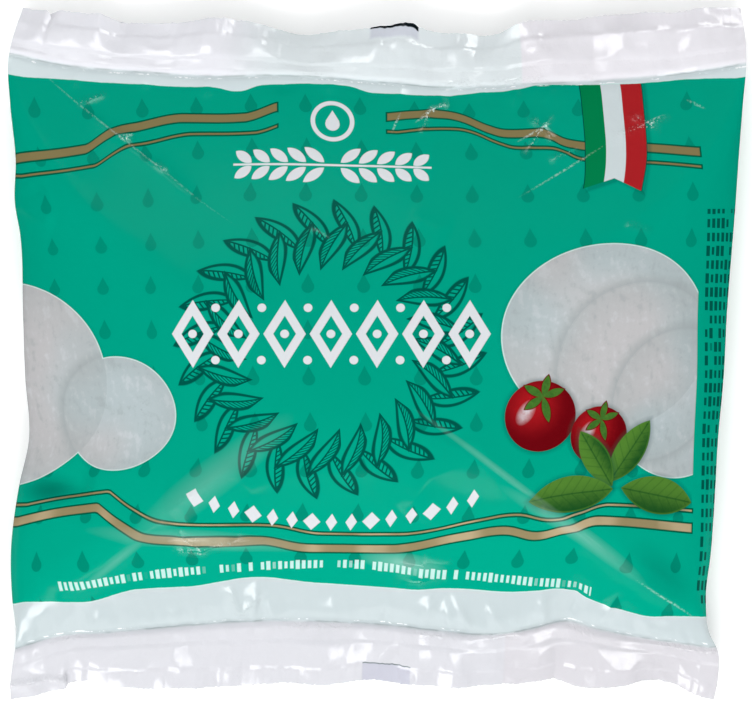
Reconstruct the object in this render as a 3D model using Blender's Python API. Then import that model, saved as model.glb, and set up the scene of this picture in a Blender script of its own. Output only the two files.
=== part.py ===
# A sealed film pack of soft cheese in its liquid, lying on its back.
# The shown side is up, +Y is the end with the ribbon, and the origin is under the middle.
import math

import bmesh
import bpy
import numpy as np

# Driving sizes of the pack, in metres
PACK_HEIGHT = 0.0320         # over the cheese, the highest place
SUMMIT = -0.0170             # how far along Y that place is
SIDE_HEIGHT = 0.0115         # the widest line of the round sides
SEAL_HEIGHT = 0.0110         # where the end seals meet the body, at the middle
SEAL_CORNER_HEIGHT = 0.0076  # and at the corners
HALF_BODY = 0.0515           # from the middle of the body to a seal
BELLY_FLAT = 0.0290          # from the middle of the body to the end of the flat belly
RIDGE_BLEND = 0.0022         # how soft the ridges between the end slopes and the sides are
FIN_THICKNESS = 0.0008       # two films pressed together, as stiff as they feel
FIN_DROOP = 0.0046           # how far a fin's cut edge hangs below its seal
FIN_WAVE = 0.0011            # depth of the waves along a fin
FIN_WAVE_RUNS = (0.0083, 0.0047)  # a long and a short wave, each over two pi
BACK_SEAM = 0.0020           # middle of the back seam's flap, along X
BACK_FLAP = 0.0110           # its width
FLAP_THICKNESS = 0.0005      # how far it stands proud where the back is off the table
FLAP_EDGE = 0.0006           # half the width of the line along each side of it

# Roundness of the slopes to the top and bottom ends, of the sides and of the belly's edge
TOP_SLOPE, BOTTOM_SLOPE = 1.70, 1.55
SIDE_CURVE, SIDE_FALL = 1.80, 0.72
BELLY_CURVE, BELLY_RISE = 3.4, 1.4

# How many points go across each face, and how many rows lie along each stretch
SIDE_STEPS = 19              # on the back, between a round side and the flap
FLAP_STEPS = 2               # on the flap, between its two edges
ACROSS = 2 * SIDE_STEPS + FLAP_STEPS + 4
FIN_ROWS = 4
BODY_ROWS = 38
SAMPLES = 481                # points worked out on a section before it is spaced evenly

# The plan: each line runs from left to right as (X, Y) in metres
TOP_CUT = (
    (-0.0672, 0.0653), (-0.0610, 0.0646), (-0.0490, 0.0630), (-0.0400, 0.0621), (-0.0290, 0.0633),
    (-0.0130, 0.0600), (0.0020, 0.0616), (0.0150, 0.0603), (0.0263, 0.0622), (0.0504, 0.0645),
    (0.0690, 0.0657),
)
TOP_SEAL = (
    (-0.0694, 0.0568), (-0.0585, 0.0545), (-0.0302, 0.0523), (-0.0022, 0.0515), (0.0142, 0.0502),
    (0.0457, 0.0517), (0.0696, 0.0549),
)
BOTTOM_SEAL = (
    (-0.0681, -0.0540), (-0.0521, -0.0525), (-0.0201, -0.0504), (-0.0069, -0.0506), (0.0195, -0.0530),
    (0.0368, -0.0506), (0.0610, -0.0555),
)
BOTTOM_CUT = (
    (-0.0690, -0.0650), (-0.0640, -0.0642), (-0.0580, -0.0630), (-0.0410, -0.0632), (-0.0189, -0.0620),
    (-0.0038, -0.0613), (0.0142, -0.0628), (0.0323, -0.0615), (0.0420, -0.0630), (0.0500, -0.0616),
    (0.0590, -0.0638), (0.0632, -0.0657),
)
# The sides: (Y, X of the left side, X of the right side) in metres
SIDES = (
    (-0.0657, -0.0694, 0.0636), (-0.0615, -0.0692, 0.0640), (-0.0540, -0.0681, 0.0631),
    (-0.0464, -0.0687, 0.0621), (-0.0374, -0.0689, 0.0630), (-0.0253, -0.0674, 0.0638),
    (-0.0163, -0.0655, 0.0642), (-0.0040, -0.0662, 0.0650), (0.0078, -0.0666, 0.0660),
    (0.0229, -0.0674, 0.0672), (0.0280, -0.0684, 0.0676), (0.0470, -0.0692, 0.0691),
    (0.0561, -0.0696, 0.0700), (0.0657, -0.0672, 0.0692),
)
# Folds in the shown side: from (X, Y) to (X, Y), height, half width, in metres
FOLDS = (
    ((0.0142, -0.0155), (0.0590, -0.0487), 0.0011, 0.0032),
    ((-0.0240, -0.0190), (-0.0615, -0.0465), 0.0008, 0.0036),
    ((-0.0587, 0.0487), (-0.0314, 0.0270), 0.0007, 0.0028),
)
FOLD_ENDS = 0.2              # the share of a fold's length over which each end fades
FILM = {"colour": (0.02, 0.36, 0.24, 1.0), "roughness": 0.28, "metallic": 0.0}


def smooth_line(points, across):
    """Heights of an eased curve through (place, height) points."""
    places, heights = np.array(points).T
    at = np.clip(across, places[0], places[-1])
    index = np.clip(np.searchsorted(places, at, side="right") - 1, 0, len(places) - 2)
    slopes = np.gradient(heights, places)
    gap = places[index + 1] - places[index]
    t = (at - places[index]) / gap
    return (
        (2 * t**3 - 3 * t**2 + 1) * heights[index]
        + (t**3 - 2 * t**2 + t) * gap * slopes[index]
        + (3 * t**2 - 2 * t**3) * heights[index + 1]
        + (t**3 - t**2) * gap * slopes[index + 1]
    )


def lower_of(first, second, blend):
    """The lower of two surfaces, rounded where they meet."""
    near = np.clip(0.5 + 0.5 * (second - first) / blend, 0, 1)
    return second + (first - second) * near - blend * near * (1 - near)


def side_places(y):
    """X of the left and right sides at each Y."""
    sides = np.array(SIDES)
    return smooth_line(sides[:, [0, 1]], y), smooth_line(sides[:, [0, 2]], y)


def plan(fraction, along):
    """X and Y at a place. fraction runs from -1, left, to 1, right. along is -2, -1, 1 and 2 at the
    bottom cut, bottom seal, top seal and top cut."""
    out = max(abs(along) - 1, 0)
    left, right = side_places(HALF_BODY * (along + 0.3 * out * np.sign(along)))
    x = 0.5 * (left + right) + 0.5 * (right - left) * fraction
    bottom_cut, bottom_seal, top_seal, top_cut = (
        smooth_line(line, x) for line in (BOTTOM_CUT, BOTTOM_SEAL, TOP_SEAL, TOP_CUT)
    )
    if along < -1:
        y = bottom_seal + (bottom_cut - bottom_seal) * out
    elif along > 1:
        y = top_seal + (top_cut - top_seal) * out
    else:
        # The bends of the seals fade towards the middle of the pack
        low, high = bottom_seal.mean(), top_seal.mean()
        y = 0.5 * (low + high) + 0.5 * along * (high - low)
        y = y + max(along, 0) ** 3 * (top_seal - high) + max(-along, 0) ** 3 * (bottom_seal - low)
    left, right = side_places(y)
    return 0.5 * (left + right) + 0.5 * (right - left) * fraction, y


def seal_height(fraction):
    return SEAL_HEIGHT - (SEAL_HEIGHT - SEAL_CORNER_HEIGHT) * fraction**2


def side_line(fraction, along):
    """Height of the widest line of the sides, which runs down into the corners of the seals."""
    seal = seal_height(fraction)
    return seal + (SIDE_HEIGHT - seal) * (1 - abs(along) ** 6)


def fold_height(x, y):
    """What the folds add to the shown side: each is a soft crest that fades out at its ends."""
    total = np.zeros_like(x)
    for (x0, y0), (x1, y1), height, half_width in FOLDS:
        run = math.hypot(x1 - x0, y1 - y0)
        step_x, step_y = (x1 - x0) / run, (y1 - y0) / run
        past = (x - x0) * step_x + (y - y0) * step_y
        aside = np.abs((x - x0) * step_y - (y - y0) * step_x)
        fade = np.clip(np.minimum(past, run - past) / (FOLD_ENDS * run), 0, 1)
        total += height * fade * np.exp(-aside / half_width)
    return total


def top_height(fraction, along, x, y):
    """The shown side of the body: end slopes and round sides, each cutting the other off."""
    seal, side = seal_height(fraction), side_line(fraction, along)
    summit = SUMMIT / HALF_BODY
    if along > summit:
        reach, curve = (along - summit) / (1 - summit), TOP_SLOPE
    else:
        reach, curve = (summit - along) / (1 + summit), BOTTOM_SLOPE
    slope = seal + (PACK_HEIGHT - seal) * (1 - reach**curve)
    fall = np.clip(1 - np.abs(fraction) ** SIDE_CURVE, 0, 1) ** SIDE_FALL
    dome = side + (PACK_HEIGHT - side) * fall * (1 - 0.5 * abs(along) ** 6)
    height = lower_of(slope, dome + 0.5 * RIDGE_BLEND, RIDGE_BLEND)
    folds = fold_height(x, y) * (1 - reach**8)
    return np.maximum(height + folds, side + 0.5 * FIN_THICKNESS)


def flap_edges():
    return BACK_SEAM - 0.5 * BACK_FLAP, BACK_SEAM + 0.5 * BACK_FLAP


def on_flap(x):
    """1 on the back seam's flap and 0 beside it."""
    inside = 0.5 * BACK_FLAP - np.abs(x - BACK_SEAM)
    return np.clip(0.5 + 0.5 * inside / FLAP_EDGE, 0, 1)


def belly_height(fraction, along, x):
    """The underside of the body: flat on the table, rising to the round sides and the two ends."""
    seal, side = seal_height(fraction), side_line(fraction, along)
    turn = 1 - np.sqrt(np.clip(1 - np.abs(fraction) ** BELLY_CURVE, 0, 1))
    flat = BELLY_FLAT / HALF_BODY
    rise = np.clip((abs(along) - flat) / (1 - flat), 0, 1) ** BELLY_RISE
    sink = 0.0008 * (1 - rise)
    floor = side * turn + (seal * rise - sink) * (1 - turn)
    groove = np.zeros_like(x)
    for edge in flap_edges():
        groove += FLAP_THICKNESS * np.clip(1 - np.abs(x - edge) / FLAP_EDGE, 0, 1)
    lifted = np.clip(floor / FLAP_THICKNESS, 0, 1)
    back = np.maximum(floor, 0) - FLAP_THICKNESS * on_flap(x) * lifted + groove * (1 - lifted)
    return np.minimum(back, side - 0.5 * FIN_THICKNESS)


def fin_height(fraction, along, x):
    """The middle of a fin: it hangs from its seal in shallow waves that grow to the cut edge."""
    out = abs(along) - 1
    turn = 1.0 if along > 0 else 2.1
    long_run, short_run = FIN_WAVE_RUNS
    wave = 0.6 * np.sin(x / long_run + turn) + 0.4 * np.sin(x / short_run + 2 * turn)
    return seal_height(fraction) - FIN_DROOP * out**1.3 + FIN_WAVE * out * wave


def spread(line, stops, counts):
    """Points along a line, evenly spaced between the stops, which are places along X."""
    length = np.concatenate([[0], np.cumsum(np.linalg.norm(np.diff(line, axis=0), axis=1))])
    ends = [0, *np.interp(stops, line[:, 0], length), length[-1]]
    places = [np.linspace(a, b, count, endpoint=False) for a, b, count in zip(ends, ends[1:], counts)]
    places = np.concatenate([*places, [length[-1]]])
    return np.stack([np.interp(places, length, line[:, axis]) for axis in range(3)], axis=1)


def section(along):
    """One closed ring: the shown side from left to right, then the back from right to left."""
    fraction = np.sin(0.5 * math.pi * np.linspace(-1, 1, SAMPLES))
    x, y = plan(fraction, along)
    if abs(along) >= 1:
        middle = fin_height(fraction, along, x)
        shown = middle + 0.5 * FIN_THICKNESS
        back = middle - 0.5 * FIN_THICKNESS - FLAP_THICKNESS * on_flap(x)
    else:
        shown, back = top_height(fraction, along, x, y), belly_height(fraction, along, x)
    left, right = flap_edges()
    stops = (left - FLAP_EDGE, left, left + FLAP_EDGE, right - FLAP_EDGE, right, right + FLAP_EDGE)
    counts = (SIDE_STEPS, 1, 1, FLAP_STEPS, 1, 1, SIDE_STEPS)
    ring = list(spread(np.stack([x, y, shown], axis=1), (), (ACROSS,)))
    return ring + list(spread(np.stack([x, y, back], axis=1), stops, counts)[::-1])


def row_places():
    """Where the sections lie, from the bottom cut to the top cut. They crowd towards the seals."""
    fin = np.linspace(0, 1, FIN_ROWS + 1)[1:]
    body = np.linspace(-1, 1, BODY_ROWS + 1)
    body = 0.45 * np.sin(0.5 * math.pi * body) + 0.55 * body
    return np.concatenate([-1 - fin[::-1], body, 1 + fin])


def make_pack():
    """The whole pack as one closed solid, lofted through its sections."""
    bm = bmesh.new()
    rings = [[bm.verts.new(point) for point in section(along)] for along in row_places()]
    for ring, above in zip(rings, rings[1:]):
        for i in range(len(ring)):
            j = (i + 1) % len(ring)
            bm.faces.new((ring[i], ring[j], above[j], above[i]))
    for ring in (rings[0], rings[-1]):
        for i in range(ACROSS):
            bm.faces.new((ring[i], ring[i + 1], ring[-i - 2], ring[-i - 1]))
    bmesh.ops.recalc_face_normals(bm, faces=bm.faces)
    # The origin goes under the middle of the pack's box
    places = np.array([vert.co for vert in bm.verts])
    middle = 0.5 * (places.min(axis=0) + places.max(axis=0))
    bmesh.ops.translate(bm, verts=bm.verts, vec=(-middle[0], -middle[1], 0))
    mesh = bpy.data.meshes.new("pack")
    bm.to_mesh(mesh)
    bm.free()
    mesh.shade_smooth()
    mesh.set_sharp_from_angle(angle=math.radians(50))
    return bpy.data.objects.new("pack", mesh)


def film_material():
    material = bpy.data.materials.new("film")
    material.use_nodes = True
    shader = material.node_tree.nodes["Principled BSDF"]
    shader.inputs["Base Color"].default_value = FILM["colour"]
    shader.inputs["Roughness"].default_value = FILM["roughness"]
    shader.inputs["Metallic"].default_value = FILM["metallic"]
    return material


def main():
    for obj in list(bpy.data.objects):
        bpy.data.objects.remove(obj, do_unlink=True)
    collection = bpy.data.collections.new("cheese_pack")
    bpy.context.scene.collection.children.link(collection)
    pack = make_pack()
    pack.data.materials.append(film_material())
    collection.objects.link(pack)


main()
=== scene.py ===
# Looks of the cheese pack: one fine film skin with printed ink, its back flap, and a plain studio.
import math

import bpy
import numpy as np
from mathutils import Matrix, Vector


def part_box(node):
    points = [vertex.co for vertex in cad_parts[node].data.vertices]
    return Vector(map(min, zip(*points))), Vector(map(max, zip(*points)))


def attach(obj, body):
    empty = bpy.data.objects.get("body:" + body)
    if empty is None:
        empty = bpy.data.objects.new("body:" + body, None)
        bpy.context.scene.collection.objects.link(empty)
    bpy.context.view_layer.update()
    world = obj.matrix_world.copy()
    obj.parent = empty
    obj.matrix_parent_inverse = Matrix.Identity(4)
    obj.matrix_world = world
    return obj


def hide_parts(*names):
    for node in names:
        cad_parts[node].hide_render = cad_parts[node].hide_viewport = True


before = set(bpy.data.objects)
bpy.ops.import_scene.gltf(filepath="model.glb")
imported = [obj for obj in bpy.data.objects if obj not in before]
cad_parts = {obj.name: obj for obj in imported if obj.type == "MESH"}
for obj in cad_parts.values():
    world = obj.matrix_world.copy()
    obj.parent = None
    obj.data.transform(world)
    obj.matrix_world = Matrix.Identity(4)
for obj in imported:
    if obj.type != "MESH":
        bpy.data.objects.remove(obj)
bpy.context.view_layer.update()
boxLow, boxHigh = (np.array(corner) * 1000 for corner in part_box("pack"))  # in millimetres
print("frame loaded, box", boxLow.round(1), boxHigh.round(1))

mm = 0.001
rng = np.random.default_rng(7)

# the camera looks straight down; its distance, height and shift aside are in metres
view = {
    "pixelsPerMm": 5.307, "width": 752, "distance": 1.1, "atHeight": 0.012, "sensor": 36.0,
    "aside": (-0.00027, 0.00019),
}

# the film's form, in millimetres, from the same sizes as the solid
form = {
    "packHeight": 32.0, "summit": -17.0, "sideHeight": 11.5, "sealHeight": 11.0, "cornerHeight": 7.6,
    "halfBody": 51.5, "bellyFlat": 29.0, "ridgeBlend": 2.2, "filmEdge": 0.3, "finDroop": 4.6,
    "topSlope": 1.70, "bottomSlope": 1.55, "sideCurve": 1.80, "sideFall": 0.72,
    "bellyCurve": 3.4, "bellyRise": 1.4, "bellyClear": 0.35,
    "halfFilm": 69.75, "filmSeal": 54.5, "filmFin": 10.5,  # flat film: half width, seal, fin length
}
grid = {"across": 288, "backAcross": 72, "bodyRows": 208, "finRows": 30, "samples": 1401}

topCut = (
    (-67.2, 65.69), (-64.0, 65.2), (-61.0, 65.1), (-55.0, 64.5), (-52.2, 64.3), (-48.5, 63.1), (-43.0, 62.6),
    (-37.0, 62.6), (-29.0, 63.5), (-24.0, 62.8), (-20.0, 61.8), (-13.0, 60.2), (-8.0, 60.8), (-3.0, 61.4),
    (2.0, 62.0), (7.6, 62.2), (9.4, 61.2), (11.5, 60.7), (17.0, 60.5), (23.4, 60.6), (26.4, 62.2),
    (38.3, 63.4), (50.4, 64.6), (56.0, 64.5), (60.0, 65.2), (69.0, 65.7),
)
topSeal = (
    (-69.4, 56.8), (-58.5, 54.5), (-44.0, 53.2), (-30.2, 52.3), (-19.7, 52.6), (-2.2, 51.5), (14.2, 50.2),
    (30.0, 50.9), (45.7, 51.7), (58.0, 53.0), (69.6, 54.9),
)
bottomSeal = (
    (-68.4, -56.0), (-64.6, -54.7), (-60.4, -53.4), (-52.1, -52.8), (-36.0, -51.4), (-20.1, -50.4),
    (-6.9, -50.6), (10.1, -52.1), (19.5, -53.0), (28.0, -52.3), (36.8, -50.6), (42.1, -52.1), (61.0, -55.5),
)
bottomCut = (
    (-69.0, -65.3), (-66.5, -65.0), (-63.0, -64.2), (-60.2, -63.4), (-59.2, -62.7), (-52.0, -62.9),
    (-43.0, -63.3), (-34.0, -63.2), (-27.0, -63.0), (-18.9, -62.3), (-10.0, -62.7), (-3.8, -61.5),
    (5.0, -62.4), (14.2, -63.1), (26.0, -62.5), (32.3, -61.7), (38.0, -63.1), (44.4, -63.2),
    (50.4, -62.0), (56.4, -62.9), (59.5, -64.4), (63.6, -65.7),
)
sides = (
    (-65.7, -69.4, 64.0), (-61.5, -69.2, 64.6), (-55.9, -68.4, 64.4), (-53.2, -68.1, 63.0),
    (-46.4, -68.7, 62.1), (-37.4, -68.9, 63.0), (-25.3, -67.4, 63.8), (-16.3, -65.5, 64.3),
    (-4.0, -66.2, 65.4), (7.8, -66.6, 66.0), (22.9, -67.2, 67.2), (28.0, -68.1, 67.6), (36.5, -68.0, 68.2),
    (47.0, -69.1, 69.1), (56.1, -69.6, 70.0), (65.7, -67.2, 69.2),
)
# ragged nicks in the cut edges: X, depth, half width
nicks = {"top": ((-61.3, 1.2, 0.9), (8.0, 0.4, 0.8)), "bottom": ((33.0, 0.5, 1.2), (-55.0, 0.5, 1.0))}


def smoothLine(points, across):
    places, heights = np.array(points).T
    at = np.clip(across, places[0], places[-1])
    index = np.clip(np.searchsorted(places, at, side="right") - 1, 0, len(places) - 2)
    slopes = np.gradient(heights, places)
    gap = places[index + 1] - places[index]
    t = (at - places[index]) / gap
    return (
        (2 * t**3 - 3 * t**2 + 1) * heights[index] + (t**3 - 2 * t**2 + t) * gap * slopes[index]
        + (3 * t**2 - 2 * t**3) * heights[index + 1] + (t**3 - t**2) * gap * slopes[index + 1]
    )


def easeStep(low, high, value):
    t = np.clip((value - low) / (high - low), 0, 1)
    return t * t * (3 - 2 * t)


def lowerOf(first, second, blend):
    near = np.clip(0.5 + 0.5 * (second - first) / blend, 0, 1)
    return second + (first - second) * near - blend * near * (1 - near)


def sidePlaces(y):
    table = np.array(sides)
    return smoothLine(table[:, [0, 1]], y), smoothLine(table[:, [0, 2]], y)


def cutLine(points, x, name, inward):
    y = smoothLine(points, x)
    ragged = np.sin(x * 2.9 + 1.3 * inward) * np.sin(x * 1.13) + 0.6 * np.sin(x * 5.7 + np.sin(x))
    y = y + 0.10 * ragged
    for place, depth, halfWidth in nicks[name]:
        y = y + inward * depth * np.clip(1 - np.abs(x - place) / halfWidth, 0, 1)
    return y


def plan(fraction, along):
    out = max(abs(along) - 1, 0)
    left, right = sidePlaces(form["halfBody"] * (along + 0.3 * out * np.sign(along)))
    x = 0.5 * (left + right) + 0.5 * (right - left) * fraction
    low, high = smoothLine(bottomSeal, x), smoothLine(topSeal, x)
    if along < -1:
        y = low + (cutLine(bottomCut, x, "bottom", 1) - low) * out
    elif along > 1:
        y = high + (cutLine(topCut, x, "top", -1) - high) * out
    else:
        lowMean, highMean = low.mean(), high.mean()
        y = 0.5 * (lowMean + highMean) + 0.5 * along * (highMean - lowMean)
        y = y + max(along, 0) ** 3 * (high - highMean) + max(-along, 0) ** 3 * (low - lowMean)
    left, right = sidePlaces(y)
    return 0.5 * (left + right) + 0.5 * (right - left) * fraction, y


def sealHeight(fraction):
    return form["sealHeight"] - (form["sealHeight"] - form["cornerHeight"]) * fraction**2


def sideLine(fraction, along):
    seal = sealHeight(fraction)
    return seal + (form["sideHeight"] - seal) * (1 - abs(along) ** 6)


def topHeight(fraction, along):
    seal, side = sealHeight(fraction), sideLine(fraction, along)
    summit = form["summit"] / form["halfBody"]
    if along > summit:
        reach, curve = (along - summit) / (1 - summit), form["topSlope"]
    else:
        reach, curve = (summit - along) / (1 + summit), form["bottomSlope"]
    slope = seal + (form["packHeight"] - seal) * (1 - reach**curve)
    # the body leaves each seal more steeply than it goes on
    slope = slope + 8.8 * (1 - reach) * np.exp(-(1 - reach) / 0.07) * (1 - fraction**4)
    fall = np.clip(1 - np.abs(fraction) ** form["sideCurve"], 0, 1) ** form["sideFall"]
    dome = side + (form["packHeight"] - side) * fall * (1 - 0.5 * abs(along) ** 6)
    height = lowerOf(slope, dome + 0.5 * form["ridgeBlend"], form["ridgeBlend"])
    return np.maximum(height, side + 0.5 * form["filmEdge"])


def bellyHeight(fraction, along):
    seal, side = sealHeight(fraction), sideLine(fraction, along)
    turn = 1 - np.sqrt(np.clip(1 - np.abs(fraction) ** form["bellyCurve"], 0, 1))
    flat = form["bellyFlat"] / form["halfBody"]
    rise = np.clip((abs(along) - flat) / (1 - flat), 0, 1) ** form["bellyRise"]
    floor = side * turn + (seal * rise - 0.8 * (1 - rise)) * (1 - turn)
    return np.minimum(np.maximum(floor, form["bellyClear"]), side - 0.5 * form["filmEdge"])


def finHeight(fraction, along, x):
    out = abs(along) - 1
    turn = 1.0 if along > 0 else 2.1
    wave = 0.6 * np.sin(x / 8.3 + turn) + 0.4 * np.sin(x / 4.7 + 2 * turn)
    return sealHeight(fraction) - form["finDroop"] * out**1.3 + 1.1 * out * wave


def spread(line, count):
    length = np.concatenate([[0], np.cumsum(np.linalg.norm(np.diff(line, axis=0), axis=1))])
    places = np.linspace(0, length[-1], count + 1)
    return np.stack([np.interp(places, length, line[:, axis]) for axis in range(3)], axis=1)


def rowPlaces():
    fin = np.linspace(0, 1, grid["finRows"] + 1)[1:]
    body = np.linspace(-1, 1, grid["bodyRows"] + 1)
    body = 0.25 * np.sin(0.5 * math.pi * body) + 0.75 * body
    return np.concatenate([-1 - fin[::-1], body, 1 + fin])


rows = rowPlaces()
fraction = np.sin(0.5 * math.pi * np.linspace(-1, 1, grid["samples"]))
shownRows, backRows = [], []
for along in rows:
    x, y = plan(fraction, along)
    if abs(along) >= 1:
        middle = finHeight(fraction, along, x)
        top, back = middle + 0.5 * form["filmEdge"], middle - 0.5 * form["filmEdge"]
    else:
        top, back = topHeight(fraction, along), bellyHeight(fraction, along)
    shownRows.append(spread(np.stack([x, y, top], axis=1), grid["across"]))
    backRows.append(spread(np.stack([x, y, back], axis=1), grid["backAcross"]))
shown, back = np.array(shownRows), np.array(backRows)
smoothShown = shown.copy()
uShown = np.linspace(-form["halfFilm"], form["halfFilm"], grid["across"] + 1)
vRows = np.where(
    np.abs(rows) <= 1, rows * form["filmSeal"],
    np.sign(rows) * (form["filmSeal"] + (np.abs(rows) - 1) * form["filmFin"]),
)
print("base form made", shown.shape, back.shape)

# relief of the film: folds, puckers, crumples
latticeSize = 32
lattice = rng.normal(size=(latticeSize, latticeSize, latticeSize, 3))
lattice /= np.linalg.norm(lattice, axis=-1, keepdims=True)


def softNoise(x, y, z):
    # gradient noise over a repeating lattice, about -0.7 to 0.7
    x, y, z = np.broadcast_arrays(x, y, z)
    cell = [np.floor(value).astype(int) for value in (x, y, z)]
    part = [value - whole for value, whole in zip((x, y, z), cell)]
    ease = [p * p * p * (p * (6 * p - 15) + 10) for p in part]
    total = 0
    for i in (0, 1):
        for j in (0, 1):
            for k in (0, 1):
                index = [(c + step) % latticeSize for c, step in zip(cell, (i, j, k))]
                push = lattice[index[0], index[1], index[2]]
                dot = sum(push[..., n] * (part[n] - step) for n, step in enumerate((i, j, k)))
                weight = 1
                for e, step in zip(ease, (i, j, k)):
                    weight = weight * (e if step else 1 - e)
                total = total + weight * dot
    return total


def ridged(x, y, z):
    # sharp crests between soft hollows, like creased film
    return 0.35 - np.abs(softNoise(x, y, z))


def crease(x, y, start, end, height, leftWidth, rightWidth, rounding=0.35, fade=0.25):
    # one fold line and how near each point is to it; the widths are its reach on each side of the way
    (x0, y0), (x1, y1) = start, end
    run = math.hypot(x1 - x0, y1 - y0)
    stepX, stepY = (x1 - x0) / run, (y1 - y0) / run
    past = (x - x0) * stepX + (y - y0) * stepY
    aside = (y - y0) * stepX - (x - x0) * stepY
    width = np.where(aside > 0, leftWidth, rightWidth)
    away = (np.sqrt(aside**2 + rounding**2) - rounding) / width
    ends = easeStep(0, fade * run, past) * easeStep(0, fade * run, run - past)
    return height * ends * np.exp(-away), ends * np.exp(-((aside / 0.65) ** 2))


# folds on the shown side: from, to, height, reach on the left and on the right of the way, rounding, crinkle
bodyFolds = (
    ((-58.7, 48.7), (-31.4, 27.0), 0.45, 0.7, 2.8, 0.12, 0.12),
    ((-49.5, 41.6), (-46.2, 39.0), 0.35, 0.5, 0.8, 0.10, 0.7),
    ((-48.2, 40.6), (-45.6, 40.9), 0.35, 0.5, 0.7, 0.10, 1.0),
    ((-41.8, 36.0), (-39.2, 33.6), 0.20, 0.6, 0.8, 0.12, 0.75),
    ((14.2, -15.5), (31.8, -28.6), 1.15, 4.2, 2.2, 0.25, 0.15),
    ((30.0, -27.0), (60.5, -49.5), 1.50, 3.8, 2.4, 0.22, 0.15),
    ((38.0, -33.0), (59.5, -48.8), 0.35, 0.5, 0.6, 0.12, 0.10),
    ((43.5, -34.6), (58.0, -45.2), 0.30, 0.5, 0.5, 0.12, 0.2),
    ((15.0, -15.5), (4.5, -30.0), 1.10, 4.6, 2.6, 0.35, 0.1),
    ((-24.0, -19.0), (-40.0, -30.5), 1.15, 3.0, 4.2, 0.45, 0.1),
    ((-38.0, -29.0), (-61.5, -46.5), 1.35, 3.4, 3.8, 0.50, 0.1),
    ((-69.0, -23.0), (-52.0, -25.5), -1.30, 4.5, 2.2, 0.60, 0.0),
    ((-69.2, 27.8), (-60.0, 24.0), 0.80, 1.4, 1.0, 0.25, 0.1),
    ((-69.2, 27.0), (-62.0, 31.5), -0.45, 1.6, 1.6, 0.40, 0.0),
    ((28.0, 45.2), (34.5, 39.0), 0.36, 0.6, 1.0, 0.10, 0.8),
    ((33.6, 45.4), (27.5, 37.0), 0.28, 0.5, 0.9, 0.10, 0.8),
    ((8.0, 44.3), (14.0, 47.6), 0.36, 0.6, 0.9, 0.10, 1.0),
    ((10.8, 47.0), (8.2, 41.0), 0.28, 0.5, 0.8, 0.10, 0.8),
    ((46.8, 45.3), (53.8, 41.4), 0.30, 0.5, 0.8, 0.10, 0.8),
    ((43.5, 40.6), (56.0, 44.8), 0.24, 0.5, 0.8, 0.10, 0.9),
    ((32.0, 36.0), (38.5, 38.6), 0.28, 0.6, 0.8, 0.12, 0.7),
    ((-57.0, 46.6), (-50.4, 49.2), 0.22, 0.5, 0.7, 0.10, 0.8),
    ((-12.5, 23.9), (-7.5, 20.6), 0.26, 0.6, 0.8, 0.12, 0.5),
    ((46.0, 24.2), (52.5, 22.6), 0.20, 0.6, 0.8, 0.12, 0.6),
    ((6.0, 26.0), (14.0, 22.5), 0.18, 1.6, 1.8, 0.40, 0.0),
    # the bottom slope's dents
    ((-41.5, -34.2), (-20.0, -35.4), 0.55, 0.8, 1.6, 0.15, 0.45),
    ((-34.0, -37.0), (-24.0, -33.7), 0.42, 0.7, 1.1, 0.15, 0.5),
    ((-38.5, -32.0), (-31.5, -37.2), 0.42, 0.6, 0.8, 0.12, 0.5),
    ((-38.0, -36.4), (-31.0, -37.0), 0.40, 0.6, 0.9, 0.12, 0.9),
    ((-44.0, -31.0), (-24.0, -21.5), 0.35, 2.0, 2.4, 0.30, 0.3),
    ((3.0, -38.6), (16.5, -39.6), 0.50, 0.8, 1.4, 0.20, 0.5),
    ((4.5, -42.8), (14.8, -41.0), 0.45, 0.8, 1.1, 0.20, 0.5),
    ((9.0, -36.8), (8.0, -44.6), 0.35, 0.9, 1.1, 0.20, 0.3),
    ((-27.0, -20.5), (-22.0, -27.5), 0.30, 1.5, 1.2, 0.30, 0.0),
    ((44.0, -44.5), (56.0, -51.0), 0.35, 1.2, 1.2, 0.30, 0.1),
    ((-66.5, -50.0), (-57.0, -46.5), 0.30, 1.6, 1.6, 0.40, 0.0),
    ((-27.5, -43.0), (-25.5, -50.0), 0.45, 0.6, 0.9, 0.12, 0.5),
    ((-25.8, -49.5), (-21.5, -44.5), 0.45, 0.6, 0.9, 0.12, 0.8),
)
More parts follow.
